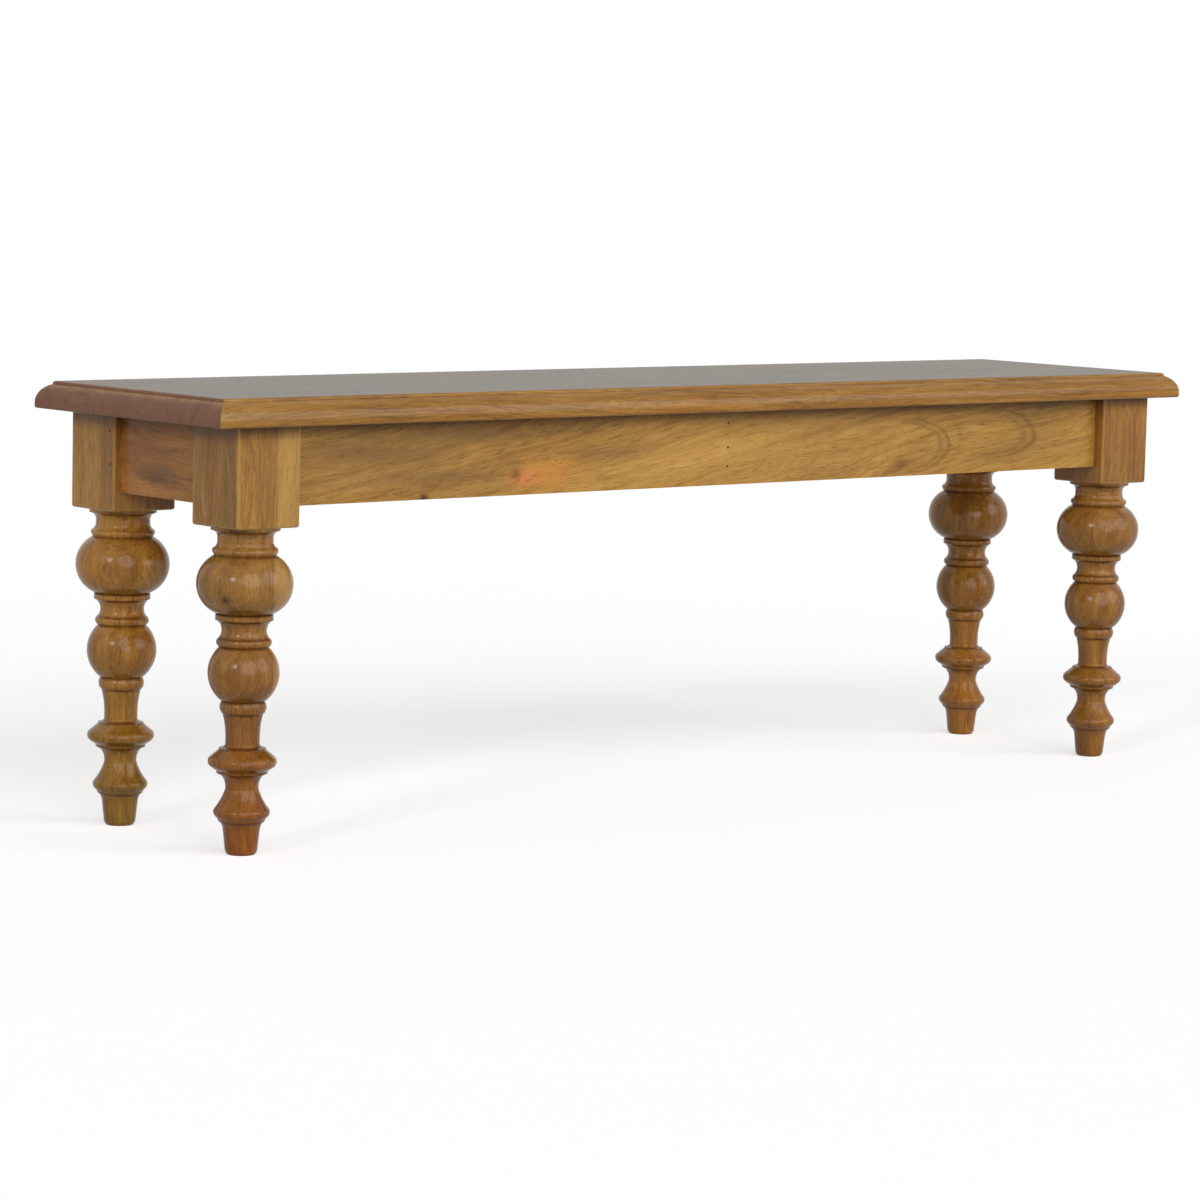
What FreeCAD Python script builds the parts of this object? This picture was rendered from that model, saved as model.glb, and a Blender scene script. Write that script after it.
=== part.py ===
import FreeCAD, Part
import os
import Sketcher

doc = FreeCAD.newDocument("DiningBench")
X_AXIS = FreeCAD.Vector(1, 0, 0)
Y_AXIS = FreeCAD.Vector(0, 1, 0)
Z_AXIS = FreeCAD.Vector(0, 0, 1)

# Driving dimensions in millimetres, measured from the floor and from the bench's middle
sheet = doc.addObject("Spreadsheet::Sheet", "Dimensions")
DIMENSIONS = (
    ("total_height", 452),
    ("seat_length", 1375),
    ("seat_depth", 320),
    ("seat_thickness", 28),
    ("top_step", 2),
    ("moulding_radius", 20),
    ("field_inset", 13),
    ("field_depth", 5),
    ("field_rounding", 2.6),
    ("lower_rounding", 2.5),
    ("board_count", 3),
    ("end_overhang", 33.5),
    ("side_overhang", 17),
    ("block_size", 76),
    ("block_rounding", 3),
    ("apron_height", 80),
    ("apron_thickness", 22),
    ("long_setback", 14),
    ("end_setback", 9),
    ("tenon_thickness", 9),
    ("tenon_height", 56),
    ("tenon_length", 26),
    ("mortise_clearance", 0.2),
    ("mortise_end_gap", 2),
    ("pin_radius", 1.6),
    ("pin_length", 30),
    ("pin_inset", 8),
    ("pin_upper_drop", 18),
    ("pin_spacing", 34),
    ("hole_clearance", 0.1),
    ("rail_thickness", 24),
    ("rail_height", 72),
    ("nail_radius", 1.5),
    ("nail_length", 48),
    ("nail_upper_drop", 14),
    ("nail_middle_drop", 40),
    ("nail_lower_drop", 60),
    ("cleat_size", 22),
    ("cleat_length", 64),
    ("cleat_place", 310),
    ("screw_radius", 2),
    ("screw_head_radius", 4),
    ("screw_head_depth", 2.6),
    ("screw_bite", 13),
    ("screw_recess", 0.6),
    ("cleat_screw_spacing", 38),
    ("drill_overrun", 1),
)

# The turned leg from its collar down to its foot: each member's lower end as radius, height and curve.
# A curve above nought swells outwards with that radius, one below nought is a hollow, nought is straight.
TURNING = (
    ("collar_top", 34.2, 324, 0),
    ("collar", 34.2, 320.5, 0),
    ("neck_cove", 27.6, 311.5, -7.5),
    ("neck", 27.6, 308.5, 0),
    ("neck_flare", 31.8, 302.5, -7),
    ("neck_ring", 31.4, 297.4, 4),
    ("neck_quirk", 30.6, 295.6, 0),
    ("upper_ball", 27.4, 238.2, 31.5),
    ("ball_quirk", 28.6, 237.4, 0),
    ("ball_collar", 28.6, 232.2, 0),
    ("collar_quirk", 27.2, 231.6, 0),
    ("upper_cove", 24.8, 214.5, -11.9),
    ("cove_ring", 25, 206, 4.9),
    ("ring_quirk", 24.6, 205.2, 0),
    ("lower_ball", 21.3, 151.8, 35.2),
    ("bead", 20.8, 140, 9.5),
    ("bead_quirk", 19.9, 139.2, 0),
    ("taper", 16.9, 118, -90),
    ("waist", 16.9, 109.5, 0),
    ("waist_flare", 19.6, 106.6, -4),
    ("shoulder_top", 23.2, 105.6, 0),
    ("shoulder", 23.2, 104.2, 0),
    ("disc_slope", 31.2, 97.6, 0),
    ("upper_disc", 31.2, 87, 6.4),
    ("disc_under", 25.6, 83, 0),
    ("disc_fillet", 25.2, 80.8, 0),
    ("disc_quirk", 22.8, 80.2, 0),
    ("disc_cove", 16.4, 68, -16),
    ("ankle", 16.4, 65, 0),
    ("ankle_flare", 26.2, 46.2, -60),
    ("lower_disc", 25.8, 37.5, 5.9),
    ("foot_slope", 23.4, 34.6, 0),
    ("foot_fillet", 23.2, 33.2, 0),
    ("foot_quirk", 21.6, 32.6, 0),
    ("foot_cove", 18.2, 24, -16),
    ("foot_taper", 16.3, 6, 0),
    ("foot_edge", 13.8, 0, 9),
)

row = 1
for alias, value in DIMENSIONS:
    sheet.set("A%d" % row, alias)
    sheet.set("B%d" % row, str(value))
    sheet.setAlias("B%d" % row, alias)
    row += 1
for member, radius, height, curve in TURNING:
    for suffix, value in (("_radius", radius), ("_height", height), ("_curve", abs(curve))):
        sheet.set("A%d" % row, member + suffix)
        sheet.set("B%d" % row, str(value))
        sheet.setAlias("B%d" % row, member + suffix)
        row += 1

# Places that several pieces share, worked out in the sheet from the driving dimensions
DERIVED = (
    ("leg_height", "total_height - seat_thickness"),
    ("block_height", "leg_height - collar_top_height"),
    ("leg_x", "seat_length / 2 - end_overhang - block_size / 2"),
    ("leg_y", "seat_depth / 2 - side_overhang - block_size / 2"),
    ("inner_x", "leg_x - block_size / 2"),
    ("inner_y", "leg_y - block_size / 2"),
    ("apron_bottom", "leg_height - apron_height"),
    ("long_face", "leg_y + block_size / 2 - long_setback"),
    ("long_back", "long_face - apron_thickness"),
    ("end_face", "leg_x + block_size / 2 - end_setback"),
    ("end_back", "end_face - apron_thickness"),
    ("tenon_drop", "(apron_height - tenon_height) / 2"),
    ("tenon_bottom", "apron_bottom + tenon_drop"),
    ("tenon_step", "(apron_thickness - tenon_thickness) / 2"),
    ("screw_length", "cleat_size - screw_recess + screw_bite"),
    ("board_width", "seat_depth / board_count"),
)
for alias, formula in DERIVED:
    sheet.set("A%d" % row, alias)
    sheet.set("B%d" % row, "=" + formula)
    sheet.setAlias("B%d" % row, alias)
    row += 1
doc.recompute()

parts = []


def cell(alias):
    return float(sheet.get(alias))


def sized(formula):
    """Puts the sheet's name before every alias of a formula."""
    words = formula.replace("(", " ( ").replace(")", " ) ").split()
    return " ".join("Dimensions." + word if word[0].isalpha() else word for word in words)


def bind(obj, **formulas):
    for prop, formula in formulas.items():
        obj.setExpression(prop, sized(formula))
    return obj


def place(obj, x, y, z):
    """Binds where a piece stands to formulas of the sheet."""
    for axis, formula in (("x", x), ("y", y), ("z", z)):
        obj.setExpression("Placement.Base." + axis, sized(formula))
    return obj


def box(name, length, width, height, x, y, z):
    solid = doc.addObject("Part::Box", name)
    bind(solid, Length=length, Width=width, Height=height)
    return place(solid, x, y, z)


def turn_to(obj, direction):
    """Turns a piece that was made along +Z to lie along a direction."""
    obj.Placement.Rotation = FreeCAD.Rotation(Z_AXIS, direction)
    return obj


def cylinder(name, radius, height, x, y, z, direction=Z_AXIS):
    rod = doc.addObject("Part::Cylinder", name)
    bind(rod, Radius=radius, Height=height)
    turn_to(rod, direction)
    return place(rod, x, y, z)


def group(kind, name, shapes):
    joined = doc.addObject(kind, name)
    if kind == "Part::Compound":
        joined.Links = shapes
    else:
        joined.Shapes = shapes
    return joined


def cut(name, base, tool):
    result = doc.addObject("Part::Cut", name)
    result.Base = base
    result.Tool = tool
    return result


def finish_part(obj, label):
    obj.Label = label
    parts.append(obj)


def camel(label):
    return label.title().replace("_", "")


def origin_plane(body, role):
    for feature in body.Origin.OriginFeatures:
        if feature.Role == role:
            return feature


def new_sketch(body, name, role):
    sketch = body.newObject("Sketcher::SketchObject", name)
    sketch.AttachmentSupport = [(origin_plane(body, role), "")]
    sketch.MapMode = "FlatFace"
    return sketch


def dimension(sketch, constraint, alias, formula):
    """Adds a sketch dimension and binds it to the sheet."""
    index = sketch.addConstraint(constraint)
    sketch.renameConstraint(index, alias)
    sketch.setExpression("Constraints." + alias, sized(formula))


def add_rectangle(sketch, length, width, name):
    """A rectangle about the sketch's origin, drawn at any size and then bound to two formulas."""
    half_x = 50
    half_y = 30
    corners = [(-half_x, -half_y), (half_x, -half_y), (half_x, half_y), (-half_x, half_y)]
    points = [FreeCAD.Vector(x, y, 0) for x, y in corners]
    first = len(sketch.Geometry)
    for i in range(4):
        sketch.addGeometry(Part.LineSegment(points[i], points[(i + 1) % 4]), False)
    for i in range(4):
        sketch.addConstraint(Sketcher.Constraint("Coincident", first + i, 2, first + (i + 1) % 4, 1))
    for i, kind in ((0, "Horizontal"), (1, "Vertical"), (2, "Horizontal"), (3, "Vertical")):
        sketch.addConstraint(Sketcher.Constraint(kind, first + i))
    sketch.addConstraint(Sketcher.Constraint("Symmetric", first, 1, first + 1, 2, -1, 1))
    across = Sketcher.Constraint("DistanceX", first, 1, first, 2, 2 * half_x)
    dimension(sketch, across, name + "_length", length)
    along = Sketcher.Constraint("DistanceY", first + 1, 1, first + 1, 2, 2 * half_y)
    dimension(sketch, along, name + "_width", width)


# The seat: a slab with a quarter-round moulding run round all four edges, under a low soft step.
# The flat field stands on the moulding's upper part and hides where the curve would lie level.
def make_slab():
    body = doc.addObject("PartDesign::Body", "SeatSlab")
    outline = new_sketch(body, "SlabOutline", "XY_Plane")
    add_rectangle(outline, "seat_length", "seat_depth", "slab")
    outline.setExpression("AttachmentOffset.Base.z", sized("leg_height"))
    slab = body.newObject("PartDesign::Pad", "Slab")
    slab.Profile = outline
    bind(slab, Length="seat_thickness - top_step")
    doc.recompute()
    low = cell("leg_height")
    high = low + cell("seat_thickness") - cell("top_step")
    moulding = body.newObject("PartDesign::Fillet", "QuarterRound")
    moulding.Base = (slab, edges_at_height(slab, high))
    bind(moulding, Radius="moulding_radius")
    doc.recompute()
    rounding = body.newObject("PartDesign::Fillet", "LowerRounding")
    rounding.Base = (moulding, edges_at_height(moulding, low))
    bind(rounding, Radius="lower_rounding")
    field_outline = new_sketch(body, "FieldOutline", "XY_Plane")
    add_rectangle(field_outline, "seat_length - 2 * field_inset", "seat_depth - 2 * field_inset", "field")
    field_outline.setExpression("AttachmentOffset.Base.z", sized("total_height - field_depth"))
    field = body.newObject("PartDesign::Pad", "RaisedField")
    field.Profile = field_outline
    bind(field, Length="field_depth")
    doc.recompute()
    easing = body.newObject("PartDesign::Fillet", "FieldRounding")
    easing.Base = (field, edges_at_height(field, cell("total_height")))
    bind(easing, Radius="field_rounding")
    doc.recompute()
    return body


def edges_at_height(feature, height):
    names = []
    for number, edge in enumerate(feature.Shape.Edges, 1):
        bounds = edge.BoundBox
        if abs(bounds.ZMin - height) < 0.01 and abs(bounds.ZMax - height) < 0.01:
            names.append("Edge%d" % number)
    return names


def make_seat():
    """Three boards glued edge to edge carry the moulding between them."""
    slab = make_slab()
    for number, label in enumerate(("seat_board_front", "seat_board_middle", "seat_board_back")):
        start = "%d * board_width - seat_depth / 2" % number
        band = box(
            "Band%d" % number, "seat_length", "board_width", "seat_thickness",
            "0 - seat_length / 2", start, "leg_height",
        )
        board = doc.addObject("Part::Common", label)
        board.Base = slab
        board.Tool = band
        finish_part(board, label)


# One leg blank: a square block over a turned shaft with two balls and two discs
def make_leg_blank():
    body = doc.addObject("PartDesign::Body", "LegBlank")
    profile = new_sketch(body, "TurnedProfile", "XZ_Plane")
    ends = [FreeCAD.Vector(radius, height, 0) for _, radius, height, _ in TURNING]
    top = FreeCAD.Vector(0, ends[0].y, 0)
    foot = FreeCAD.Vector(0, 0, 0)
    profile.addGeometry(Part.LineSegment(top, ends[0]), False)
    links = [(0, 1, 2)]
    for i in range(1, len(TURNING)):
        start = ends[i - 1]
        end = ends[i]
        curve = TURNING[i][3]
        if curve == 0:
            index = profile.addGeometry(Part.LineSegment(start, end), False)
            links.append((index, 1, 2))
        else:
            index = profile.addGeometry(turned_arc(start, end, curve), False)
            near = profile.getPoint(index, 1)
            forward = (near - start).Length < (near - end).Length
            links.append((index, 1, 2) if forward else (index, 2, 1))
    base_line = profile.addGeometry(Part.LineSegment(ends[-1], foot), False)
    links.append((base_line, 1, 2))
    axis_line = profile.addGeometry(Part.LineSegment(foot, top), False)
    links.append((axis_line, 1, 2))
    for i, (index, start, end) in enumerate(links):
        following, next_start, _ = links[(i + 1) % len(links)]
        profile.addConstraint(Sketcher.Constraint("Coincident", index, end, following, next_start))
    profile.addConstraint(Sketcher.Constraint("Coincident", axis_line, 1, -1, 1))
    profile.addConstraint(Sketcher.Constraint("Vertical", axis_line))
    profile.addConstraint(Sketcher.Constraint("Horizontal", 0))
    profile.addConstraint(Sketcher.Constraint("Horizontal", base_line))
    for i, (member, radius, height, curve) in enumerate(TURNING):
        index, _, end = links[i]
        across = Sketcher.Constraint("DistanceX", -1, 1, index, end, radius)
        dimension(profile, across, member + "_radius", member + "_radius")
        if height > 0:
            up = Sketcher.Constraint("DistanceY", -1, 1, index, end, height)
            dimension(profile, up, member + "_height", member + "_height")
        if curve:
            swell = Sketcher.Constraint("Radius", index, abs(curve))
            dimension(profile, swell, member + "_curve", member + "_curve")
    shaft = body.newObject("PartDesign::Revolution", "Turning")
    shaft.Profile = profile
    shaft.ReferenceAxis = (profile, ["V_Axis"])
    shaft.Angle = 360
    doc.recompute()
    outline = new_sketch(body, "BlockOutline", "XY_Plane")
    add_rectangle(outline, "block_size", "block_size", "block")
    outline.setExpression("AttachmentOffset.Base.z", sized("collar_top_height"))
    block = body.newObject("PartDesign::Pad", "Block")
    block.Profile = outline
    bind(block, Length="block_height")
    doc.recompute()
    arrises = []
    for number, edge in enumerate(block.Shape.Edges, 1):
        bounds = edge.BoundBox
        upright = bounds.XLength < 0.01 and bounds.YLength < 0.01
        if upright and abs(bounds.ZLength - cell("block_height")) < 0.01:
            arrises.append("Edge%d" % number)
        level = max(abs(bounds.ZMin - cell("collar_top_height")), bounds.ZLength) < 0.01
        if level and abs(edge.Length - cell("block_size")) < 0.01:
            arrises.append("Edge%d" % number)
    rounding = body.newObject("PartDesign::Fillet", "BlockRounding")
    rounding.Base = (block, arrises)
    bind(rounding, Radius="block_rounding")
    doc.recompute()
    return body


def turned_arc(start, end, curve):
    """The arc from start down to end that swells outwards, or is hollow where curve is below nought."""
    chord = end - start
    half = chord.Length / 2
    radius = abs(curve)
    side = FreeCAD.Vector(-chord.y, chord.x, 0).normalize()
    if curve < 0:
        side = side * -1
    sagitta = radius - (radius ** 2 - half ** 2) ** 0.5
    middle = (start + end) * 0.5 + side * sagitta
    edge = Part.Arc(start, middle, end).toShape()
    return Part.ArcOfCircle(edge.Curve, edge.FirstParameter, edge.LastParameter)


# The mortises of a leg, and at the back its pin holes, in the leg's own frame
def make_leg_tools(name, sign, pinned):
    """sign is +1 where the long apron lies on the leg's +X side, -1 where it lies on its -X side."""
    slack = "2 * mortise_clearance"
    width = "tenon_thickness + " + slack
    depth = "tenon_length + mortise_end_gap"
    low = "tenon_bottom - mortise_clearance"
    long_side = "block_size / 2 - long_setback - apron_thickness + tenon_step - mortise_clearance"
    end_side = "block_size / 2 - end_setback - apron_thickness + tenon_step - mortise_clearance"
    along = "block_size / 2 - (tenon_length + mortise_end_gap)"
    if sign > 0:
        long_x = along
        end_x = "0 - (" + end_side + ") - (" + width + ")"
        pin_x = "0 - block_size / 2 - drill_overrun"
        pin_way = X_AXIS
    else:
        long_x = "0 - block_size / 2"
        end_x = end_side
        pin_x = "block_size / 2 + drill_overrun"
        pin_way = X_AXIS * -1
    tall = "tenon_height + " + slack
    long_y = "0 - (" + long_side + ") - (" + width + ")"
    tools = [
        box("LongMortise" + name, depth, width, tall, long_x, long_y, low),
        box("EndMortise" + name, width, depth, tall, end_x, along, low),
    ]
    drops = ("pin_upper_drop", "pin_upper_drop + pin_spacing") if pinned else ()
    for number, drop in enumerate(drops):
        tools.append(cylinder(
            "PinHole%s%d" % (name, number), "pin_radius + hole_clearance", "pin_length + drill_overrun",
            pin_x, "block_size / 2 - pin_inset", "leg_height - (" + drop + ")", pin_way,
        ))
    return group("Part::MultiFuse", "LegTools" + name, tools)


def make_legs():
    """The two back legs are the front ones turned half round, so each hand serves a diagonal."""
    blank = make_leg_blank()
    legs = (
        ("leg_front_left", 1, False, "0 - leg_x", "0 - leg_y"),
        ("leg_front_right", -1, False, "leg_x", "0 - leg_y"),
        ("leg_back_left", -1, True, "0 - leg_x", "leg_y"),
        ("leg_back_right", 1, True, "leg_x", "leg_y"),
    )
    for label, sign, back, x, y in legs:
        leg = cut(label, blank, make_leg_tools(camel(label), sign, back))
        leg.Placement.Rotation = FreeCAD.Rotation(Z_AXIS, 180 if back else 0)
        place(leg, x, y, "0")
        finish_part(leg, label)


# The aprons: boards with a tenon at each end, let into the leg blocks
def make_aprons():
    for side, sign in (("front", -1), ("back", 1)):
        board_y = "0 - long_face" if sign < 0 else "long_back"
        name = "Long" + side.capitalize()
        board = box(
            name + "Board", "2 * inner_x", "apron_thickness", "apron_height",
            "0 - inner_x", board_y, "apron_bottom",
        )
        tenons = box(
            name + "Tenons", "2 * (inner_x + tenon_length)", "tenon_thickness", "tenon_height",
            "0 - (inner_x + tenon_length)", board_y + " + tenon_step", "tenon_bottom",
        )
        blank = group("Part::MultiFuse", name + "Blank", [board, tenons])
        holes = nail_set(side, sign, "nail_radius + hole_clearance", "ApronHole")
        holes += cleat_holes(side)
        label = "apron_" + side
        finish_part(cut(label, blank, group("Part::MultiFuse", name + "Holes", holes)), label)
    for side, sign in (("left", -1), ("right", 1)):
        board_x = "0 - end_face" if sign < 0 else "end_back"
        name = "End" + side.capitalize()
        board = box(
            name + "Board", "apron_thickness", "2 * inner_y", "apron_height",
            board_x, "0 - inner_y", "apron_bottom",
        )
        tenons = box(
            name + "Tenons", "tenon_thickness", "2 * (inner_y + tenon_length)", "tenon_height",
            board_x + " + tenon_step", "0 - (inner_y + tenon_length)", "tenon_bottom",
        )
        blank = group("Part::MultiFuse", name + "Blank", [board, tenons])
        holes = pin_set(side, sign, "pin_radius + hole_clearance", "Hole")
        holes += cleat_holes(side)
        label = "apron_" + side
        finish_part(cut(label, blank, group("Part::MultiFuse", name + "Holes", holes)), label)


# Pins driven through each end apron's back tenon from the outer face of the back leg's block
def pin_set(side, sign, radius, kind):
    pins = []
    start = "leg_x + block_size / 2"
    x = "0 - (" + start + ")" if sign < 0 else start
    way = X_AXIS * -sign
    for number, drop in enumerate(("pin_upper_drop", "pin_upper_drop + pin_spacing")):
        name = "Pin%s%s%d" % (kind, side.capitalize(), number)
        pins.append(cylinder(
            name, radius, "pin_length", x, "inner_y + pin_inset", "leg_height - (" + drop + ")", way,
        ))
    return pins


# Nails through each long apron into the end of the cross rail
def nail_set(side, sign, radius, kind):
    nails = []
    y = "0 - long_face" if sign < 0 else "long_face"
    for number, drop in enumerate(("nail_upper_drop", "nail_middle_drop", "nail_lower_drop")):
        name = "Nail%s%s%d" % (kind, side.capitalize(), number)
        nails.append(cylinder(
            name, radius, "nail_length", "0", y, "leg_height - " + drop, Y_AXIS * -sign,
        ))
    return nails


def make_cross_rail():
    blank = box(
        "RailBoard", "rail_thickness", "2 * long_back", "rail_height",
        "0 - rail_thickness / 2", "0 - long_back", "leg_height - rail_height",
    )
    holes = nail_set("front", -1, "nail_radius + hole_clearance", "RailHole")
    holes += nail_set("back", 1, "nail_radius + hole_clearance", "RailHole")
    finish_part(cut("cross_rail", blank, group("Part::MultiFuse", "RailHoles", holes)), "cross_rail")


# A countersunk wood screw along +Z, with its head at the origin
def screw(name, x, y, z, way, clearance=""):
    shank = cylinder(
        name + "Shank", "screw_radius" + clearance, "screw_length" + clearance, x, y, z, way,
    )
    head = doc.addObject("Part::Cone", name + "Head")
    bind(
        head,
        Radius1="screw_head_radius" + clearance,
        Radius2="screw_radius" + clearance,
        Height="screw_head_depth" + clearance,
    )
    turn_to(head, way)
    place(head, x, y, z)
    pieces = [shank, head]
    if clearance:
        recess = cylinder(
            name + "Recess", "screw_head_radius" + clearance, "screw_recess + drill_overrun",
            x, y, z, way * -1,
        )
        pieces.append(recess)
    return group("Part::MultiFuse", name, pieces)


# Cleats hold the seat down: each has two screws into its apron and one up into the seat
CLEATS = (
    ("front_left", "front", -1),
    ("front_right", "front", 1),
    ("back_left", "back", -1),
    ("back_right", "back", 1),
    ("left", "left", 0),
    ("right", "right", 0),
)
WAYS = {"front": Y_AXIS * -1, "back": Y_AXIS, "left": X_AXIS * -1, "right": X_AXIS}


def cleat_corner(side, along):
    """Formulas for a cleat's lower corner and its two plan sizes."""
    low = "leg_height - cleat_size"
    if side in ("front", "back"):
        middle = "0 + cleat_place" if along > 0 else "0 - cleat_place"
        y = "0 - long_back" if side == "front" else "long_back - cleat_size"
        return middle + " - cleat_length / 2", y, low, "cleat_length", "cleat_size"
    x = "0 - end_back" if side == "left" else "end_back - cleat_size"
    return x, "0 - cleat_length / 2", low, "cleat_size", "cleat_length"


def seat_screw(name, side, along, clearance=""):
    x, y, z, length, width = cleat_corner(side, along)
    return screw(
        name, x + " + " + length + " / 2", y + " + " + width + " / 2",
        z + " + screw_recess", Z_AXIS, clearance,
    )


def apron_screws(name, side, along, clearance=""):
    x, y, z, length, width = cleat_corner(side, along)
    z = z + " + cleat_size / 2"
    screws = []
    for number, way in enumerate(("-", "+")):
        offset = " %s cleat_screw_spacing / 2" % way
        if side == "front":
            place_x = x + " + cleat_length / 2" + offset
            place_y = y + " + cleat_size - screw_recess"
        elif side == "back":
            place_x = x + " + cleat_length / 2" + offset
            place_y = y + " + screw_recess"
        elif side == "left":
            place_x = x + " + cleat_size - screw_recess"
            place_y = y + " + cleat_length / 2" + offset
        else:
            place_x = x + " + screw_recess"
            place_y = y + " + cleat_length / 2" + offset
        screws.append(screw(name + str(number), place_x, place_y, z, WAYS[side], clearance))
    return screws


def cleat_holes(side):
    holes = []
    for label, apron, along in CLEATS:
        if apron == side:
            holes += apron_screws("ApronHole" + camel(label), side, along, " + hole_clearance")
    return holes


def make_cleats():
    for label, side, along in CLEATS:
        x, y, z, length, width = cleat_corner(side, along)
        name = camel(label)
        blank = box("Cleat" + name, length, width, "cleat_size", x, y, z)
        holes = [seat_screw("CleatSeatHole" + name, side, along, " + hole_clearance")]
        holes += apron_screws("CleatHole" + name, side, along, " + hole_clearance")
        piece = cut("seat_cleat_" + label, blank, group("Part::MultiFuse", "CleatHoles" + name, holes))
        finish_part(piece, "seat_cleat_" + label)


# The seat boards get the pilot holes of the screws that come up through the cleats
def drill_seat():
    for number, sides in enumerate((("front",), ("left", "right"), ("back",))):
        holes = []
        for cleat, side, along in CLEATS:
            if side in sides:
                holes.append(seat_screw("SeatHole" + camel(cleat), side, along, " + hole_clearance"))
        board = parts[number]
        label = board.Label
        board.Label = label + "_blank"
        drilled = cut(label + "_drilled", board, group("Part::MultiFuse", "SeatHoles%d" % number, holes))
        drilled.Label = label
        parts[number] = drilled


def make_fastenings():
    pins = pin_set("left", -1, "pin_radius", "")
    pins += pin_set("right", 1, "pin_radius", "")
    finish_part(group("Part::Compound", "tenon_pins", pins), "tenon_pins")
    nails = nail_set("front", -1, "nail_radius", "")
    nails += nail_set("back", 1, "nail_radius", "")
    finish_part(group("Part::Compound", "rail_nails", nails), "rail_nails")
    up = []
    across = []
    for label, side, along in CLEATS:
        name = camel(label)
        up.append(seat_screw("SeatScrew" + name, side, along))
        across += apron_screws("CleatScrew" + name, side, along)
    finish_part(group("Part::Compound", "seat_screws", up), "seat_screws")
    finish_part(group("Part::Compound", "cleat_screws", across), "cleat_screws")


make_seat()
make_legs()
make_aprons()
make_cross_rail()
make_cleats()
drill_seat()
make_fastenings()
doc.recompute()

for obj in doc.Objects:
    if "Invalid" in obj.State or "Error" in obj.State:
        raise RuntimeError("failed feature: " + obj.Label)
os.makedirs("parts", exist_ok=True)
for piece in parts:
    if piece.Shape.isNull() or not piece.Shape.isValid():
        raise RuntimeError("bad shape: " + piece.Label)
    piece.Shape.exportStep("parts/" + piece.Label + ".step")
print("wrote", len(parts), "parts")
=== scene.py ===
import math
import bpy
from mathutils import Matrix, Vector


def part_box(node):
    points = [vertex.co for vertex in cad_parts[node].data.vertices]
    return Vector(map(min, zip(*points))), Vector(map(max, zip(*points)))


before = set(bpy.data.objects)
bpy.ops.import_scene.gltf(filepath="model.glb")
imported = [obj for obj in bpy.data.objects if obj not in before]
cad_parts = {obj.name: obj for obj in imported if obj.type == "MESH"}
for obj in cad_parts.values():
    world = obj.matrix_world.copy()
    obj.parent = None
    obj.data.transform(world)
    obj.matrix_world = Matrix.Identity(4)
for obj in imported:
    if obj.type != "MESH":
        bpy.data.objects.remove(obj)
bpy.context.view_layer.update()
scene = bpy.context.scene

# Legs: each is turned from a blank of three glued layers of hardwood and left square at the top,
# then stained and lacquered. They stand on the floor and carry the aprons in mortises cut into
# their blocks. Sizes are in metres.


def node(tree, kind, values=None, links=None, **settings):
    """Adds a node, sets its properties and values, and links its inputs."""
    made = tree.nodes.new(kind)
    for name, value in settings.items():
        setattr(made, name, value)
    for key, value in (values or {}).items():
        made.inputs[key].default_value = value
    for key, socket in (links or {}).items():
        tree.links.new(socket, made.inputs[key])
    return made


def feed(tree, made, values):
    """Gives a node's inputs, in order, either a plain value or a link."""
    for socket, value in zip(made.inputs, values):
        if isinstance(value, bpy.types.NodeSocket):
            tree.links.new(value, socket)
        else:
            socket.default_value = value


def calc(tree, operation, *values, clamp=False):
    made = node(tree, "ShaderNodeMath", operation=operation, use_clamp=clamp)
    feed(tree, made, values)
    return made.outputs["Value"]


def vector(tree, operation, *values):
    made = node(tree, "ShaderNodeVectorMath", operation=operation)
    feed(tree, made, values)
    single = operation in ("LENGTH", "DOT_PRODUCT")
    return made.outputs["Value" if single else "Vector"]


def split(tree, place):
    return node(tree, "ShaderNodeSeparateXYZ", links={"Vector": place}).outputs


def fade_out(tree, distance, width):
    """A mask that is 1 at no distance and 0 from a width on."""
    return calc(tree, "SUBTRACT", 1.0, calc(tree, "DIVIDE", distance, width), clamp=True)


def noise(tree, place, scale, detail, rough, output="Fac"):
    """Noise stretched by a scale for each axis, in cycles per metre."""
    spread = node(tree, "ShaderNodeMapping", {"Scale": scale}, {"Vector": place})
    made = node(
        tree, "ShaderNodeTexNoise", {"Scale": 1.0, "Detail": detail, "Roughness": rough},
        {"Vector": spread.outputs["Vector"]},
    )
    return made.outputs[output]


def ramp(tree, fac, stops):
    """A colour ramp from (position, colour) pairs; a single number is a grey."""
    made = node(tree, "ShaderNodeValToRGB", links={"Fac": fac})
    elements = made.color_ramp.elements
    while len(elements) < len(stops):
        elements.new(0.5)
    for element, (position, colour) in zip(elements, stops):
        element.position = position
        level = (colour, colour, colour) if isinstance(colour, (int, float)) else colour
        element.color = (*level, 1)
    return made.outputs["Color"]


def mix(tree, kind, fac, first, second):
    """Blends two colours; each of them is a socket or a plain colour."""
    made = node(tree, "ShaderNodeMix", data_type="RGBA", blend_type=kind)
    for name, value in (("Factor", fac), ("A", first), ("B", second)):
        socket = [s for s in made.inputs if s.name == name and s.enabled][0]
        if isinstance(value, bpy.types.NodeSocket):
            tree.links.new(value, socket)
        else:
            socket.default_value = value if isinstance(value, (int, float)) else (*value, 1)
    return [s for s in made.outputs if s.enabled][0]


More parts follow.
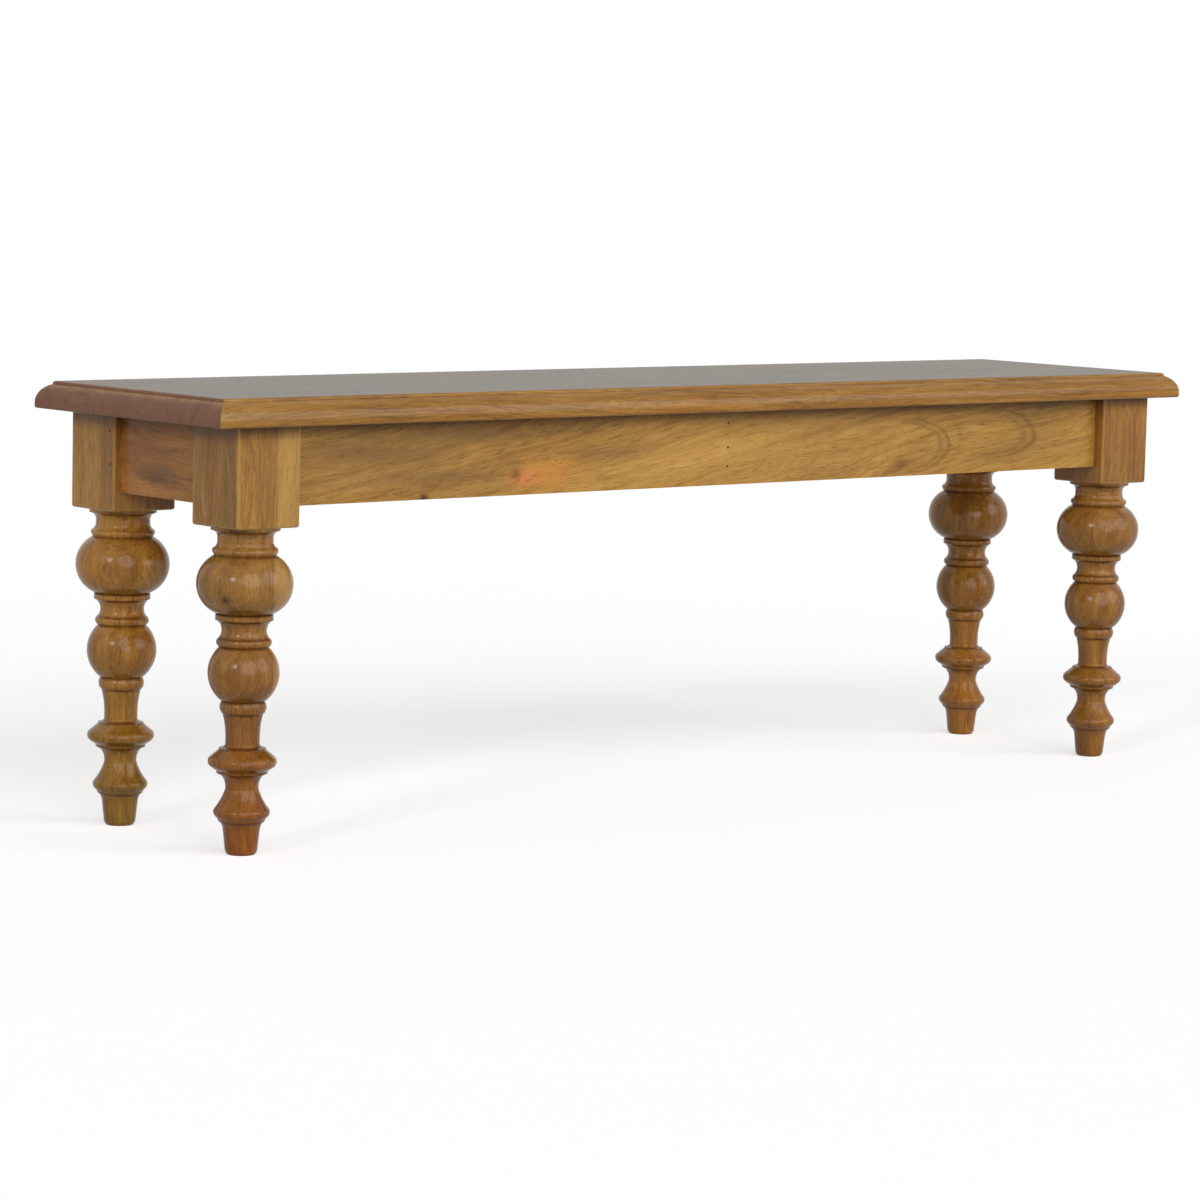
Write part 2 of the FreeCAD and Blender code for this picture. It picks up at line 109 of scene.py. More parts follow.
def new_group(name, inputs, outputs):
    """An empty node group, with the sockets that its inside reads and the ones it fills."""
    group = bpy.data.node_groups.new(name, "ShaderNodeTree")
    for label in inputs:
        is_vector = label in ("Vector", "Centre", "Size", "Normal")
        kind = "NodeSocketVector" if is_vector else "NodeSocketFloat"
        group.interface.new_socket(label, in_out="INPUT", socket_type=kind)
    for label in outputs:
        group.interface.new_socket(label, in_out="OUTPUT", socket_type="NodeSocketFloat")
    entry = group.nodes.new("NodeGroupInput").outputs
    leave = group.nodes.new("NodeGroupOutput").inputs
    return group, entry, leave


def wood_figure():
    """Rings round the pith, streaks, fibres, pores, red patches and dark clouds. X is the grain."""
    group, entry, leave = new_group(
        "wood figure", ("Vector", "Ring width"),
        ("Rings", "Streaks", "Fibres", "Pores", "Red patches", "Clouds"),
    )
    sway = noise(group, entry["Vector"], (2.6, 10, 10), 2.0, 0.45, "Color")
    sway = vector(group, "SUBTRACT", sway, (0.5, 0.5, 0.5))
    sway = vector(group, "MULTIPLY", sway, (0, 0.07, 0.07))
    bent = vector(group, "ADD", entry["Vector"], sway)
    reach = vector(group, "LENGTH", vector(group, "MULTIPLY", bent, (0.02, 1, 1)))
    turns = calc(group, "DIVIDE", reach, entry["Ring width"])
    uneven = node(
        group, "ShaderNodeTexNoise", {"Scale": 0.55, "Detail": 1.0}, {"W": turns},
        noise_dimensions="1D",
    )
    turns = calc(group, "MULTIPLY_ADD", uneven.outputs["Fac"], 2.2, turns)
    late_wood = ((0.0, 0.0), (0.55, 0.15), (0.88, 1.0), (1.0, 0.0))
    late = ramp(group, calc(group, "FRACT", turns), late_wood)
    veil = ramp(group, noise(group, bent, (2.0, 9, 9), 1.0, 0.5), ((0.38, 0.08), (0.62, 1.0)))
    rings = calc(group, "MULTIPLY", late, veil)
    group.links.new(rings, leave["Rings"])
    group.links.new(noise(group, bent, (3.6, 90, 90), 4.0, 0.66), leave["Streaks"])
    group.links.new(noise(group, bent, (30, 520, 520), 3.0, 0.75), leave["Fibres"])
    patches = noise(group, bent, (3.4, 15, 15), 3.0, 0.55)
    group.links.new(ramp(group, patches, ((0.52, 0.0), (0.68, 1.0))), leave["Red patches"])
    group.links.new(ramp(group, patches, ((0.32, 0.55), (0.47, 0.0))), leave["Clouds"])
    # Pores are short dark dashes along the grain, denser in the dark part of each ring
    dash = noise(group, bent, (60, 1000, 1000), 1.0, 0.5)
    over = calc(group, "MULTIPLY_ADD", rings, 0.05, calc(group, "SUBTRACT", dash, 0.57))
    group.links.new(calc(group, "MULTIPLY", over, 9.0, clamp=True), leave["Pores"])
    return group


def glued_layers():
    """Which of a blank's three layers a point lies in: -1, 0 or 1 across the blank's depth."""
    group, entry, leave = new_group("glued layers", ("Vector", "Middle", "Half"), ("Layer",))
    off = calc(group, "SUBTRACT", split(group, entry["Vector"])["Y"], entry["Middle"])
    behind = calc(group, "GREATER_THAN", off, entry["Half"])
    before = calc(group, "LESS_THAN", off, calc(group, "MULTIPLY", entry["Half"], -1.0))
    group.links.new(calc(group, "SUBTRACT", behind, before), leave["Layer"])
    return group


FIGURE = wood_figure()
GLUED_LAYERS = glued_layers()
DARK_STAIN = (0.085, 0.038, 0.012)


class Wood:
    """Stained wood with its grain along an axis and its pith at a point, then its finish.

    The tones are those of its dark, middle and light streaks, and warm is how red its red
    patches are. The layers are (middle, half a layer's depth, shift along the plank).
    """

    def __init__(
        self, name, grain_axis, pith, tones, ring=0.009, lean=0.0, warm=0.5, layers=None,
    ):
        self.material = bpy.data.materials.new(name)
        self.material.use_nodes = True
        self.tree = tree = self.material.node_tree
        tree.nodes.clear()
        self.place = node(tree, "ShaderNodeTexCoord").outputs["Object"]
        quarter = math.pi / 2
        turn = {"X": (0, lean, 0), "Y": (lean, 0, -quarter), "Z": (0, quarter, 0)}[grain_axis]
        moved = vector(tree, "SUBTRACT", self.place, pith)
        turned = node(tree, "ShaderNodeMapping", {"Rotation": turn}, {"Vector": moved})
        grain = turned.outputs["Vector"]
        layer = None
        if layers:
            # Each layer is cut from elsewhere in the plank, so its figure and tone differ
            middle, half, shift = layers
            layer = self.add_group(GLUED_LAYERS, self.place, middle, half)["Layer"]
            along = calc(tree, "MULTIPLY", layer, shift)
            across = calc(tree, "MULTIPLY", layer, 0.031)
            jump = node(tree, "ShaderNodeCombineXYZ", links={"X": along, "Y": across})
            grain = vector(tree, "ADD", grain, jump.outputs["Vector"])
        self.figure = self.add_group(FIGURE, grain, ring)
        fine = calc(tree, "MULTIPLY", self.figure["Fibres"], 0.5)
        blend = calc(tree, "MULTIPLY_ADD", self.figure["Streaks"], 0.5, fine)
        if layer is not None:
            blend = calc(tree, "MULTIPLY_ADD", layer, 0.035, blend)
        dark, middle_tone, light = tones
        self.colour = ramp(tree, blend, ((0.34, dark), (0.50, middle_tone), (0.66, light)))
        self.tint("MULTIPLY", self.figure["Red patches"], (1.0, 0.78, 0.55), warm)
        self.tint("MULTIPLY", self.figure["Clouds"], (0.58, 0.58, 0.66))
        self.tint("MIX", self.figure["Rings"], dark, 0.38)

    def add_group(self, group, *values):
        """Places a node group in the material with this wood's own values."""
        made = node(self.tree, "ShaderNodeGroup", node_tree=group)
        feed(self.tree, made, values)
        return made.outputs

    def tint(self, kind, mask, tone, strength=None):
        """Puts a tone where the mask is: MIX covers the wood, and MULTIPLY stains it."""
        if strength is not None:
            mask = calc(self.tree, "MULTIPLY", mask, strength)
        self.colour = mix(self.tree, kind, mask, self.colour, tone)

    def stain_pores(self):
        self.tint("MIX", self.figure["Pores"], DARK_STAIN, 0.36)

    def lacquer(self, coat, coat_rough, dull=None):
        """The last coat, over the slight relief of fibres and pores. Dull parts have less."""
        raised = calc(self.tree, "MULTIPLY", self.figure["Fibres"], 0.5)
        relief = calc(self.tree, "SUBTRACT", raised, self.figure["Pores"])
        bump = node(
            self.tree, "ShaderNodeBump", {"Strength": 0.12, "Distance": 0.0004},
            {"Height": relief},
        )
        links = {
            "Base Color": self.colour,
            "Roughness": ramp(self.tree, self.figure["Streaks"], ((0.25, 0.46), (0.75, 0.60))),
            "Normal": bump.outputs["Normal"],
        }
        if dull is not None:
            links["Coat Weight"] = calc(self.tree, "MULTIPLY_ADD", dull, -0.30, coat)
        surface = node(
            self.tree, "ShaderNodeBsdfPrincipled",
            {
                "IOR": 1.45, "Specular IOR Level": 0.0,
                "Coat Weight": coat, "Coat Roughness": coat_rough, "Coat IOR": 1.34,
            },
            links,
        )
        node(self.tree, "ShaderNodeOutputMaterial", links={"Surface": surface.outputs["BSDF"]})
        return self.material


def dress(name, material):
    """Puts a material on a piece of the CAD model, whose mesh stays as it is."""
    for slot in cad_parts[name].material_slots:
        slot.material = material


def ragged_distance(group, entry, scale, strength):
    """Where a point lies from a centre, in units of a size, with a ragged outline."""
    ragged = noise(group, entry["Vector"], scale, 3.0, 0.55, "Color")
    ragged = vector(group, "SUBTRACT", ragged, (0.5, 0.5, 0.5))
    ragged = vector(group, "MULTIPLY", ragged, (strength, strength, strength))
    away = vector(group, "SUBTRACT", entry["Vector"], entry["Centre"])
    return vector(group, "ADD", vector(group, "DIVIDE", away, entry["Size"]), ragged)


def soft_spot():
    """A soft spot of another tone, such as a knot or a cloud."""
    group, entry, leave = new_group("spot", ("Vector", "Centre", "Size"), ("Mask",))
    away = ragged_distance(group, entry, (45, 90, 90), 1.5)
    fall = calc(group, "MULTIPLY", vector(group, "DOT_PRODUCT", away, away), -1.0)
    group.links.new(calc(group, "EXPONENT", fall), leave["Mask"])
    return group


def quirk_stain_and_painted_shade(heights):
    """Darker in each turned quirk, round the leg at a height: stain that gathers there, and painted
    shade.
    """
    group, entry, leave = new_group("quirk stain and painted shade", ("Vector", "Width"), ("Mask",))
    height = split(group, entry["Vector"])["Z"]
    groove = 0.0
    for level in heights:
        off = calc(group, "ABSOLUTE", calc(group, "SUBTRACT", height, level))
        groove = calc(group, "MAXIMUM", groove, fade_out(group, off, entry["Width"]))
    group.links.new(groove, leave["Mask"])
    return group


def foot_painted_shade():
    """Painted shade, deepest at the foot and fading upwards; Height sets how fast."""
    group, entry, leave = new_group("foot painted shade", ("Vector", "Height"), ("Mask",))
    up = calc(group, "DIVIDE", split(group, entry["Vector"])["Z"], entry["Height"])
    group.links.new(calc(group, "SUBTRACT", 0.85, up, clamp=True), leave["Mask"])
    return group


def corner_stain_and_painted_shade():
    """Stain and painted shade gather in the corner under the seat, down to a depth."""
    group, entry, leave = new_group("corner stain and painted shade", ("Vector", "Underside", "Depth"), ("Mask",))
    below = calc(group, "SUBTRACT", entry["Underside"], split(group, entry["Vector"])["Z"])
    share = calc(group, "DIVIDE", below, entry["Depth"])
    group.links.new(ramp(group, share, ((0.2, 0.75), (1.0, 0.0))), leave["Mask"])
    return group


def block_wear_and_painted_highlight():
    """Lighter upright edges and lower edge on a block: wear from handling, and a painted highlight
    as if the edges caught the light. Size is half a block.
    """
    group, entry, leave = new_group(
        "block wear and painted highlight", ("Vector", "Centre", "Size", "Bottom", "Streaks"), ("Mask",),
    )
    aside = vector(group, "SUBTRACT", entry["Vector"], entry["Centre"])
    inside = vector(group, "SUBTRACT", entry["Size"], vector(group, "ABSOLUTE", aside))
    inside = split(group, inside)
    upright = fade_out(group, calc(group, "MAXIMUM", inside["X"], inside["Y"]), 0.0035)
    up = calc(group, "SUBTRACT", split(group, entry["Vector"])["Z"], entry["Bottom"])
    lower = fade_out(group, calc(group, "ABSOLUTE", up), 0.003)
    wear_and_highlight = calc(group, "MAXIMUM", upright, lower)
    wear_and_highlight = calc(group, "MULTIPLY", wear_and_highlight, calc(group, "GREATER_THAN", up, -0.001))
    group.links.new(calc(group, "MULTIPLY", wear_and_highlight, entry["Streaks"]), leave["Mask"])
    return group


def add_spots(wood, spots):
    """Spots are (centre, size, tone, strength)."""
    for centre, size, tone, strength in spots:
        mask = wood.add_group(SPOT, wood.place, centre, size)["Mask"]
        wood.tint("MIX", mask, tone, strength)


def add_sapwood(wood, way, start):
    """Paler sapwood from a start on in one direction, with a thin dark line along its border."""
    depth = calc(wood.tree, "SUBTRACT", vector(wood.tree, "DOT_PRODUCT", wood.place, way), start)
    edge = calc(wood.tree, "MULTIPLY_ADD", wood.figure["Streaks"], 0.016, depth)
    pale = calc(wood.tree, "MULTIPLY", edge, 250.0, clamp=True)
    wood.tint("MIX", pale, (0.60, 0.36, 0.11), 0.4)
    border = fade_out(wood.tree, calc(wood.tree, "ABSOLUTE", edge), 0.0014)
    wood.tint("MULTIPLY", border, (0.50, 0.36, 0.25), 0.4)


def add_corner_stain_and_painted_shade(wood, depth=0.014):
    """Darkens the wood in the corner where it meets the seat's underside: stain, and painted shade.
    """
    mask = wood.add_group(CORNER_STAIN_AND_PAINTED_SHADE, wood.place, SEAT_UNDERSIDE, depth)["Mask"]
    wood.tint("MULTIPLY", mask, (0.36, 0.30, 0.26))


SPOT = soft_spot()
QUIRK_STAIN_AND_PAINTED_SHADE = quirk_stain_and_painted_shade((
    0.3203, 0.2958, 0.2378, 0.2316, 0.2141, 0.2055, 0.1515, 0.1394, 0.1060, 0.0805, 0.0328,
))
FOOT_PAINTED_SHADE = foot_painted_shade()
CORNER_STAIN_AND_PAINTED_SHADE = corner_stain_and_painted_shade()
BLOCK_WEAR_AND_PAINTED_HIGHLIGHT = block_wear_and_painted_highlight()
SEAT_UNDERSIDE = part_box("seat_board_front")[0][2]
BLOCK_HALF = 0.038  # half a block's width
BLOCK_BOTTOM = 0.324  # where the turning ends and the square block starts
LAYER_HALF = 0.016  # half the middle layer's depth
QUIRK_WIDTH = 0.0024  # how far a quirk's stain and painted shade reach up and down
PAINTED_SHADE_HEIGHT = 0.32  # the height over which the foot's painted shade loses its full strength
WORN_AND_HIGHLIT_TONE = (0.66, 0.40, 0.12)
LEG_COAT = (0.85, 0.18)  # weight and roughness of the lacquer
LEG_TONES = ((0.225, 0.096, 0.019), (0.395, 0.190, 0.038), (0.535, 0.285, 0.066))
# Each leg with its own shade of these tones and its own tone of painted shade at the foot
LEGS = (
    ("leg_front_left", (0.96, 0.95, 0.94), (0.66, 0.36, 0.0)),
    ("leg_front_right", (0.91, 0.85, 0.80), (0.88, 0.76, 0.46)),
    ("leg_back_left", (1.17, 1.13, 1.00), (0.42, 0.46, 0.20)),
    ("leg_back_right", (1.08, 1.02, 0.94), (0.85, 0.72, 0.50)),
)
for number, (name, shade, foot_shade_tone) in enumerate(LEGS):
    low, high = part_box(name)
    axis_x = (low[0] + high[0]) / 2
    axis_y = (low[1] + high[1]) / 2
    tones = [[level * part for level, part in zip(tone, shade)] for tone in LEG_TONES]
    # Each blank comes from another place in the tree
    pith = (axis_x + 0.021 * (number - 1.4), axis_y + 0.05 - 0.013 * number, 0.4 * number)
    leg = Wood(
        name.replace("_", " ") + " wood", "Z", pith, tones, ring=0.0065,
        layers=(axis_y, LAYER_HALF, 0.27 + 0.1 * number),
    )
    if name == "leg_front_left":
        # Sapwood starts 36 mm from the axis towards the right. A small knot is on the upper
        # ball's left rim, and a pale patch on the block's front.
        way_x, way_y = 0.8, -0.6
        add_sapwood(leg, (way_x, way_y, 0), way_x * axis_x + way_y * axis_y + 0.036)
        knot = (axis_x - 0.041, axis_y - 0.023, 0.255)
        patch = (axis_x + 0.014, axis_y - 0.042, 0.380)
        add_spots(leg, (
            (knot, (0.006, 0.004, 0.004), (0.07, 0.022, 0.008), 0.95),
            (patch, (0.032, 0.022, 0.045), (0.620, 0.365, 0.115), 0.20),
        ))
    leg.stain_pores()
    # Stain and painted shade in the quirks
    groove = leg.add_group(QUIRK_STAIN_AND_PAINTED_SHADE, leg.place, QUIRK_WIDTH)["Mask"]
    leg.tint("MULTIPLY", groove, (0.34, 0.22, 0.13), 0.8)
    # Painted shade: each leg darker towards its foot
    foot = leg.add_group(FOOT_PAINTED_SHADE, leg.place, PAINTED_SHADE_HEIGHT)["Mask"]
    leg.tint("MULTIPLY", foot, foot_shade_tone)
    # Stain and painted shade in the corner under the seat
    add_corner_stain_and_painted_shade(leg)
    # Lighter block edges: wear, and painted highlight
    wear_and_highlight = leg.add_group(
        BLOCK_WEAR_AND_PAINTED_HIGHLIGHT, leg.place, (axis_x, axis_y, 0), (BLOCK_HALF, BLOCK_HALF, 0), BLOCK_BOTTOM,
        leg.figure["Streaks"],
    )["Mask"]
    leg.tint("MIX", wear_and_highlight, WORN_AND_HIGHLIT_TONE)
    dress(name, leg.lacquer(*LEG_COAT))


# Aprons: planed boards between the blocks, with plain lower edges and pinned tenons. The long
# one in front is flat-sawn: cloudy bands, two small knots and two growth lines that curl.
def eye_curl():
    """A growth line that curls round the end of an eye: one side of an oval."""
    group, entry, leave = new_group("curl", ("Vector", "Centre", "Size", "Width"), ("Mask",))
    away = ragged_distance(group, entry, (8, 18, 18), 0.65)
    off = calc(group, "SUBTRACT", vector(group, "LENGTH", away), 1.0)
    line = fade_out(group, calc(group, "ABSOLUTE", off), entry["Width"])
    side = calc(group, "MULTIPLY_ADD", split(group, away)["X"], 1.6, 0.3, clamp=True)
    group.links.new(calc(group, "MULTIPLY", line, side), leave["Mask"])
    return group


CURL = eye_curl()
APRON_TONES = ((0.270, 0.125, 0.024), (0.480, 0.248, 0.052), (0.600, 0.340, 0.086))
APRON_COAT = (0.70, 0.26)
GREY_BROWN = (0.225, 0.115, 0.040)
front_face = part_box("apron_front")[0][1]
front = Wood(
    "front apron wood", "X", (0.1, -0.16, 0.26), APRON_TONES, ring=0.013, lean=0.16, warm=0.6,
)
add_spots(front, (
    # A pale cloud in the middle, and grey-brown clouds and bands towards the left
    ((0.060, front_face, 0.380), (0.230, 0.05, 0.045), (0.680, 0.390, 0.110), 0.30),
    ((-0.450, front_face, 0.380), (0.170, 0.05, 0.040), (0.300, 0.160, 0.062), 0.30),
    ((-0.480, front_face, 0.392), (0.110, 0.05, 0.010), GREY_BROWN, 0.75),
    ((-0.330, front_face, 0.408), (0.120, 0.05, 0.007), GREY_BROWN, 0.70),
    ((-0.390, front_face, 0.366), (0.080, 0.05, 0.008), GREY_BROWN, 0.70),
    ((-0.190, front_face, 0.384), (0.075, 0.05, 0.008), GREY_BROWN, 0.50),
    # The orange knot with its pink heart and dark rim, the small dark knot and a brown streak
    ((-0.246, front_face, 0.366), (0.032, 0.05, 0.015), (0.64, 0.260, 0.045), 0.70),
    ((-0.280, front_face, 0.359), (0.017, 0.05, 0.009), (0.70, 0.240, 0.075), 0.90),
    ((-0.294, front_face, 0.365), (0.006, 0.05, 0.006), (0.22, 0.070, 0.025), 0.75),
    ((-0.414, front_face, 0.346), (0.006, 0.05, 0.004), (0.050, 0.016, 0.014), 0.95),
    ((0.262, front_face, 0.358), (0.020, 0.05, 0.007), (0.20, 0.080, 0.026), 0.75),
))
# Curls are (centre, size, width as a share of the size, strength)
for centre, size, width, strength in (
    ((0.268, front_face, 0.378), (0.070, 0.2, 0.029), 0.07, 0.80),
    ((0.256, front_face, 0.378), (0.070, 0.2, 0.026), 0.10, 0.55),
    ((0.290, front_face, 0.382), (0.070, 0.2, 0.036), 0.10, 0.35),
    ((0.400, front_face, 0.388), (0.073, 0.2, 0.027), 0.08, 0.80),
    ((0.386, front_face, 0.388), (0.073, 0.2, 0.024), 0.12, 0.45),
):
    curl = front.add_group(CURL, front.place, centre, size, width)["Mask"]
    curl = calc(front.tree, "MULTIPLY", curl, front.figure["Streaks"])
    front.tint("MIX", curl, DARK_STAIN, strength)
front.stain_pores()
# Stain and painted shade in the corner under the seat
add_corner_stain_and_painted_shade(front)
dress("apron_front", front.lacquer(*APRON_COAT))

back = Wood("back apron wood", "X", (0.7, 0.22, 0.46), APRON_TONES, ring=0.012, lean=0.06)
back.stain_pores()
dress("apron_back", back.lacquer(*APRON_COAT))

END_TONES = ((0.290, 0.110, 0.028), (0.500, 0.212, 0.052), (0.620, 0.295, 0.082))
left_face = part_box("apron_left")[0][0]
left = Wood("left apron wood", "Y", (-0.60, 0.3, 0.33), END_TONES, warm=0.7)
add_spots(left, (
    # The dark eye and the lines round it, a pale band below it and a red cloud beside it
    ((left_face, 0.004, 0.369), (0.05, 0.040, 0.009), (0.170, 0.092, 0.042), 0.75),
    ((left_face, -0.004, 0.362), (0.05, 0.030, 0.003), (0.130, 0.060, 0.024), 0.70),
    ((left_face, -0.020, 0.392), (0.05, 0.020, 0.0025), (0.130, 0.052, 0.022), 0.60),
    ((left_face, 0.010, 0.349), (0.05, 0.060, 0.004), (0.520, 0.250, 0.050), 0.60),
    ((left_face, 0.030, 0.395), (0.05, 0.030, 0.016), (0.380, 0.135, 0.048), 0.60),
))
left.stain_pores()
# Stain and painted shade in the corner under the seat
add_corner_stain_and_painted_shade(left)
dress("apron_left", left.lacquer(*APRON_COAT))

right = Wood("right apron wood", "Y", (0.68, -0.4, 0.44), END_TONES, ring=0.010)
right.stain_pores()
dress("apron_right", right.lacquer(*APRON_COAT))

# Hidden framing: a cross rail nailed between the long aprons, and six cleats screwed to the
# aprons that hold the seat down. All are sawn from plainer wood and left without lacquer.
INNER_TONES = ((0.20, 0.110, 0.045), (0.36, 0.215, 0.095), (0.46, 0.300, 0.150))
NO_COAT = (0.0, 0.5)
rail = Wood("cross rail wood", "Y", (0.03, 0.1, 0.40), INNER_TONES)
rail.stain_pores()
dress("cross_rail", rail.lacquer(*NO_COAT))
CLEATS = ("front_left", "front_right", "back_left", "back_right", "left", "right")
for number, side in enumerate(CLEATS):
    name = "seat_cleat_" + side
    low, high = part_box(name)
    pith = (low[0] + 0.01 * number, low[1] - 0.03, low[2] - 0.02)
    # Those of the long aprons lie along the bench, and the two at the ends lie across it
    grain_axis = "X" if "_" in side else "Y"
    cleat = Wood(name.replace("_", " ") + " wood", grain_axis, pith, INNER_TONES)
    cleat.stain_pores()
    dress(name, cleat.lacquer(*NO_COAT))


# Seat: three boards glued edge to edge, with their moulding run as one round the outside. It is
# screwed on from below. Its flat top and its ends are rubbed duller than the moulding.
def board_faces():
    """Which face of the seat a point lies on, from its normal."""
    group, entry, leave = new_group("board faces", ("Normal",), ("End grain", "Flat top"))
    facing = split(group, entry["Normal"])
    endwise = calc(group, "ABSOLUTE", facing["X"])
    group.links.new(ramp(group, endwise, ((0.45, 0.0), (0.75, 1.0))), leave["End grain"])
    group.links.new(ramp(group, facing["Z"], ((0.85, 0.0), (0.97, 1.0))), leave["Flat top"])
    return group


BOARD_FACES = board_faces()
SEAT_TONES = ((0.185, 0.076, 0.011), (0.365, 0.172, 0.028), (0.490, 0.250, 0.050))
SEAT_COAT = (0.74, 0.16)
for number, name in enumerate(("seat_board_front", "seat_board_middle", "seat_board_back")):
    low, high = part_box(name)
    middle_y = (low[1] + high[1]) / 2
    pith = (0.35 * number - 0.3, middle_y + 0.02 * number - 0.03, 0.395 - 0.012 * number)
    board = Wood(name.replace("_", " ") + " wood", "X", pith, SEAT_TONES, ring=0.0075)
    board.stain_pores()
    facing = node(board.tree, "ShaderNodeNewGeometry").outputs["Normal"]
    faces = board.add_group(BOARD_FACES, facing)
    # End grain drinks more stain
    board.tint("MIX", faces["End grain"], SEAT_TONES[1], 0.5)
    board.tint("MULTIPLY", faces["End grain"], (0.78, 0.77, 2.8))
    # Painted reflection: where the flat top is seen at a low angle its colour is turned grey, a
    # sheen standing in for the lacquer's reflection
    slant = node(board.tree, "ShaderNodeLayerWeight", {"Blend": 0.5}).outputs["Facing"]
    painted_sheen_at_low_angle = ramp(board.tree, slant, ((0.72, 0.0), (0.88, 1.0)))
    veil = calc(board.tree, "MULTIPLY", faces["Flat top"], painted_sheen_at_low_angle)
    board.tint("MULTIPLY", veil, (0.46, 0.66, 1.60))
    dull = calc(board.tree, "MAXIMUM", faces["Flat top"], faces["End grain"])
    dress(name, board.lacquer(*SEAT_COAT, dull))


# Pins, nails and screws: drawn steel. The pins go through the tenons and the nails into the
# cross rail, and their driven ends are dark from the finish wiped over them.
def steel_mottle():
    """A fine cloudiness that makes the steel darker and duller in places."""
    group, entry, leave = new_group("steel mottle", ("Vector",), ("Mottle",))
    group.links.new(noise(group, entry["Vector"], (900, 900, 900), 3.0, 0.5), leave["Mottle"])
    return group


MOTTLE = steel_mottle()


def steel(name, colour, rough, metal):
    material = bpy.data.materials.new(name)
    material.use_nodes = True
    tree = material.node_tree
    surface = tree.nodes["Principled BSDF"]
    surface.inputs["Metallic"].default_value = metal
    group = node(tree, "ShaderNodeGroup", node_tree=MOTTLE)
    feed(tree, group, [node(tree, "ShaderNodeTexCoord").outputs["Object"]])
    mottle = group.outputs["Mottle"]
    darker = tuple(0.55 * level for level in colour)
    shades = ramp(tree, mottle, ((0.35, darker), (0.65, colour)))
    scuffs = ramp(tree, mottle, ((0.3, rough - 0.1), (0.7, rough + 0.1)))
    tree.links.new(shades, surface.inputs["Base Color"])
    tree.links.new(scuffs, surface.inputs["Roughness"])
    return material


dress("tenon_pins", steel("dark pin steel", (0.170, 0.070, 0.022), 0.8, 0.0))
dress("rail_nails", steel("dark nail steel", (0.160, 0.066, 0.022), 0.8, 0.0))
for name in ("seat_screws", "cleat_screws"):
    dress(name, steel(name.replace("_", " ") + " steel", (0.62, 0.55, 0.38), 0.35, 1.0))


# Floor: a plain pale sheet that fades out round the bench into the white surround. The camera,
# reflections and glass see it white; other light meets a greyer sheet that keeps the shadow.
def shown(tree):
    """1 for the rays that see the background, which is white to them, and 0 for the others."""
    rays = node(tree, "ShaderNodeLightPath").outputs
    direct = calc(tree, "MAXIMUM", rays["Is Camera Ray"], rays["Is Glossy Ray"])
    return calc(tree, "MAXIMUM", direct, rays["Is Transmission Ray"])


reach = 7.0
corners = [(-reach, -reach, 0), (reach, -reach, 0), (reach, reach, 0), (-reach, reach, 0)]
floor_mesh = bpy.data.meshes.new("floor")
floor_mesh.from_pydata(corners, [], [(0, 1, 2, 3)])
floor = bpy.data.objects.new("floor", floor_mesh)
scene.collection.objects.link(floor)
paper = bpy.data.materials.new("pale floor")
paper.use_nodes = True
tree = paper.node_tree
tree.nodes.clear()
# The sheet starts to fade about 1 m from the bench's middle and has gone at 2.5 m
away = vector(tree, "LENGTH", node(tree, "ShaderNodeTexCoord").outputs["Object"])
share = calc(tree, "DIVIDE", away, reach)
fade = ramp(tree, share, ((0.15, 0.0), (0.26, 0.6), (0.36, 1.0)))
seen = shown(tree)
tone = mix(tree, "MIX", seen, (0.45, 0.45, 0.45), (0.8, 0.8, 0.8))
matt = node(tree, "ShaderNodeBsdfDiffuse", links={"Color": tone})
bright = mix(tree, "MIX", seen, (0, 0, 0), (0.56, 0.56, 0.56))
glow = node(tree, "ShaderNodeEmission", {"Strength": 1.0}, {"Color": bright})
lit = node(
    tree, "ShaderNodeAddShader", links={0: matt.outputs["BSDF"], 1: glow.outputs["Emission"]},
)
clear = node(tree, "ShaderNodeBsdfTransparent")
both = node(
    tree, "ShaderNodeMixShader",
    links={0: fade, 1: lit.outputs["Shader"], 2: clear.outputs["BSDF"]},
)
node(tree, "ShaderNodeOutputMaterial", links={"Surface": both.outputs["Shader"]})
floor_mesh.materials.append(paper)

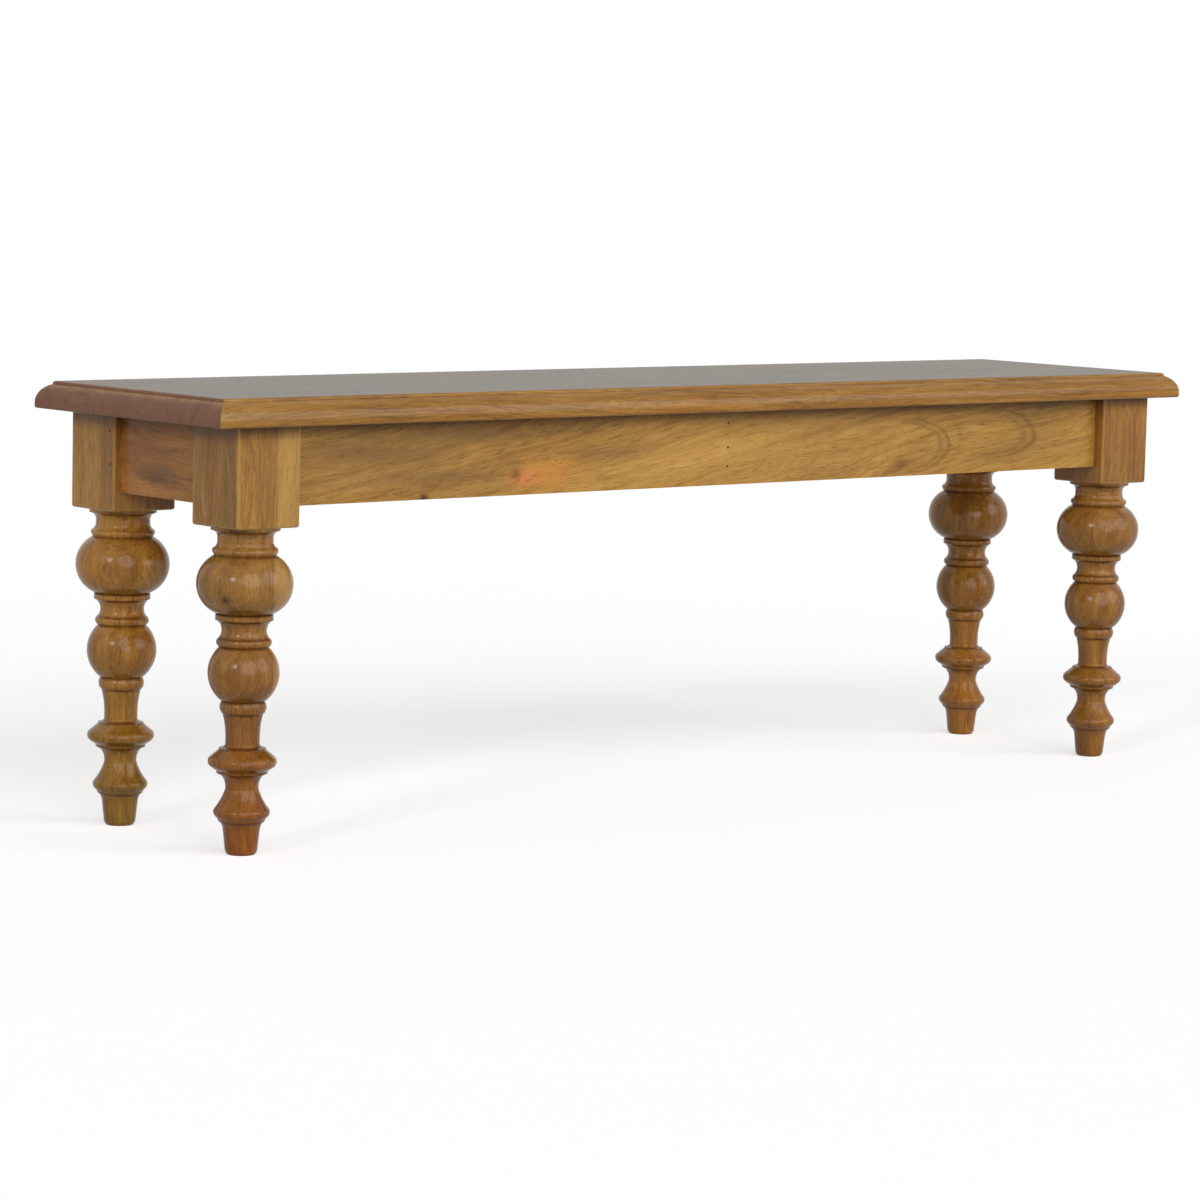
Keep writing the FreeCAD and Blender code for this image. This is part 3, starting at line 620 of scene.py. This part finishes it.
# Surround: white to the same rays as the floor. Other light comes from a soft grey sky, which
# is brightest low down and behind the bench.
world = bpy.data.worlds.new("studio")
scene.world = world
world.use_nodes = True
tree = world.node_tree
tree.nodes.clear()
direction = split(tree, node(tree, "ShaderNodeTexCoord").outputs["Generated"])
sky = ramp(tree, direction["Z"], ((0.0, 0.36), (0.16, 0.36), (0.30, 0.20), (0.8, 0.17)))
behind = calc(tree, "MULTIPLY_ADD", direction["Y"], 0.5, 0.7, clamp=True)
sky = mix(tree, "MULTIPLY", 1.0, sky, behind)
soft = node(tree, "ShaderNodeBackground", {"Strength": 1.0}, {"Color": sky})
white = node(tree, "ShaderNodeBackground", {"Color": (1, 1, 1, 1), "Strength": 1.0})
choice = node(
    tree, "ShaderNodeMixShader",
    links={0: shown(tree), 1: soft.outputs["Background"], 2: white.outputs["Background"]},
)
node(tree, "ShaderNodeOutputWorld", links={"Surface": choice.outputs["Shader"]})


# Lights: soft suns. A broad key stands low in front, with weaker ones at the right and at the
# left end, and a small bright window at the left that gives the balls their highlights.
def lamp(name, azimuth, elevation, power, spread):
    """A soft sun whose light comes from an azimuth (0 in front, + to the right) and a height."""
    light = bpy.data.lights.new(name, "SUN")
    light.energy = power
    light.angle = math.radians(spread)
    made = bpy.data.objects.new(name, light)
    across = math.radians(azimuth)
    up = math.radians(elevation)
    level = math.cos(up)
    source = Vector((math.sin(across) * level, -math.cos(across) * level, math.sin(up)))
    made.rotation_euler = source.to_track_quat("Z", "Y").to_euler()
    scene.collection.objects.link(made)


lamp("key", -18, 22, 1.65, 50)
lamp("right", 32, 23, 1.0, 40)
lamp("left", -98, 22, 0.18, 30)
lamp("window", -67, 24, 0.52, 12)

# Camera: where the photograph's stood, a little above the seat and well to the left of the
# front. Its place, angles and focal length were fitted to the edges and turnings in the photo.
camera_data = bpy.data.cameras.new("camera")
camera = bpy.data.objects.new("camera", camera_data)
scene.collection.objects.link(camera)
scene.camera = camera
focal_pixels = 4131.6
image_width = 1200
camera_data.sensor_width = 36
camera_data.lens = camera_data.sensor_width * focal_pixels / image_width
camera_data.clip_end = 100
yaw = math.radians(-41.129)
tilt = math.radians(90 - 6.360)
roll = math.radians(1.401)
aim = Matrix.Rotation(yaw, 4, "Z") @ Matrix.Rotation(tilt, 4, "X") @ Matrix.Rotation(roll, 4, "Z")
camera_place = (-2.99378, -3.35586, 0.70719)
camera.matrix_world = Matrix.Translation(camera_place) @ aim

# Colours come out as they are written.
scene.view_settings.view_transform = "Standard"
